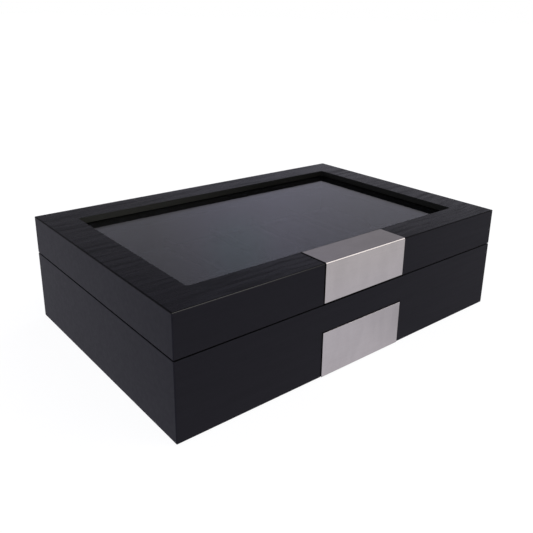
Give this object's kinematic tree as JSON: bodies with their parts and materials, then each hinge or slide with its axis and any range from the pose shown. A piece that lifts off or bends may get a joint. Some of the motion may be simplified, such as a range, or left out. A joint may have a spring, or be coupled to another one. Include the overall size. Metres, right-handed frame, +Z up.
{
  "type": "watch box",
  "caption": "Low rectangular watch box with a hinged glass-window lid, brushed front plates and two rows of removable cushions.",
  "frame": {"origin": "centre of the felt underside, in the plane that the box stands on", "axes": "+X to the box's right as seen from the front, along its longest side; -Y to the front with the metal plates; +Z up"},
  "size_m": [0.31, 0.2123, 0.0865],
  "materials": {
    "black_veneer": "satin black stained veneer with fine open grain",
    "dark_board": "black painted board",
    "brushed_plate": "brushed stainless steel, brushed along the box's width",
    "smoked_glass": "lightly smoked, polished float glass",
    "lining_suede": "dark grey short-pile suede cloth over board",
    "cushion_suede": "grey suede cloth over soft filling",
    "felt": "black felt",
    "hinge_steel": "satin stainless steel",
    "pin_steel": "turned steel",
    "magnet_nickel": "nickel plated"
  },
  "bodies": {
    "base": {"base_front_wall": "black_veneer", "base_back_wall": "black_veneer", "base_left_wall": "black_veneer", "base_right_wall": "black_veneer", "base_bottom_panel": "dark_board", "underside_felt": "felt", "base_front_plate": "brushed_plate", "tray_floor": "lining_suede", "base_liner_front": "lining_suede", "base_liner_back": "lining_suede", "base_liner_left": "lining_suede", "base_liner_right": "lining_suede", "centre_divider": "lining_suede", "cross_divider_1": "lining_suede", "cross_divider_2": "lining_suede", "cross_divider_3": "lining_suede", "cross_divider_4": "lining_suede", "cross_divider_5": "lining_suede", "hinge_base_leaf_left": "hinge_steel", "hinge_base_leaf_right": "hinge_steel", "hinge_pin_left": "pin_steel", "hinge_pin_right": "pin_steel", "base_hinge_screws": "pin_steel", "base_catch_magnets": "magnet_nickel"},
    "lid": {"lid_front_wall": "black_veneer", "lid_back_wall": "black_veneer", "lid_left_wall": "black_veneer", "lid_right_wall": "black_veneer", "lid_top_frame": "black_veneer", "glass_pane": "smoked_glass", "glass_retainer": "lining_suede", "lid_liner_front": "lining_suede", "lid_liner_back": "lining_suede", "lid_liner_left": "lining_suede", "lid_liner_right": "lining_suede", "lid_clasp_plate": "brushed_plate", "hinge_lid_leaf_left": "hinge_steel", "hinge_lid_leaf_right": "hinge_steel", "lid_hinge_screws": "pin_steel", "lid_catch_magnets": "magnet_nickel"},
    "cushion_front_1": {"cushion_front_1": "cushion_suede"},
    "cushion_front_2": {"cushion_front_2": "cushion_suede"},
    "cushion_front_3": {"cushion_front_3": "cushion_suede"},
    "cushion_front_4": {"cushion_front_4": "cushion_suede"},
    "cushion_front_5": {"cushion_front_5": "cushion_suede"},
    "cushion_front_6": {"cushion_front_6": "cushion_suede"},
    "cushion_back_1": {"cushion_back_1": "cushion_suede"},
    "cushion_back_2": {"cushion_back_2": "cushion_suede"},
    "cushion_back_3": {"cushion_back_3": "cushion_suede"},
    "cushion_back_4": {"cushion_back_4": "cushion_suede"},
    "cushion_back_5": {"cushion_back_5": "cushion_suede"},
    "cushion_back_6": {"cushion_back_6": "cushion_suede"}
  },
  "joints": [
    {"name": "lid_hinge", "type": "hinge", "parent": "base", "child": "lid", "pos_m": [0, 0.1052, 0.056], "axis": [-1, 0, 0], "range_deg": [0, 95]},
    {"name": "lift_cushion_front_1", "type": "slide", "parent": "base", "child": "cushion_front_1", "axis": [0, 0, 1], "range_m": [0, 0.0235]},
    {"name": "lift_cushion_front_2", "type": "slide", "parent": "base", "child": "cushion_front_2", "axis": [0, 0, 1], "range_m": [0, 0.0235]},
    {"name": "lift_cushion_front_3", "type": "slide", "parent": "base", "child": "cushion_front_3", "axis": [0, 0, 1], "range_m": [0, 0.0235]},
    {"name": "lift_cushion_front_4", "type": "slide", "parent": "base", "child": "cushion_front_4", "axis": [0, 0, 1], "range_m": [0, 0.0235]},
    {"name": "lift_cushion_front_5", "type": "slide", "parent": "base", "child": "cushion_front_5", "axis": [0, 0, 1], "range_m": [0, 0.0235]},
    {"name": "lift_cushion_front_6", "type": "slide", "parent": "base", "child": "cushion_front_6", "axis": [0, 0, 1], "range_m": [0, 0.0235]},
    {"name": "lift_cushion_back_1", "type": "slide", "parent": "base", "child": "cushion_back_1", "axis": [0, 0, 1], "range_m": [0, 0.0235]},
    {"name": "lift_cushion_back_2", "type": "slide", "parent": "base", "child": "cushion_back_2", "axis": [0, 0, 1], "range_m": [0, 0.0235]},
    {"name": "lift_cushion_back_3", "type": "slide", "parent": "base", "child": "cushion_back_3", "axis": [0, 0, 1], "range_m": [0, 0.0235]},
    {"name": "lift_cushion_back_4", "type": "slide", "parent": "base", "child": "cushion_back_4", "axis": [0, 0, 1], "range_m": [0, 0.0235]},
    {"name": "lift_cushion_back_5", "type": "slide", "parent": "base", "child": "cushion_back_5", "axis": [0, 0, 1], "range_m": [0, 0.0235]},
    {"name": "lift_cushion_back_6", "type": "slide", "parent": "base", "child": "cushion_back_6", "axis": [0, 0, 1], "range_m": [0, 0.0235]}
  ]
}
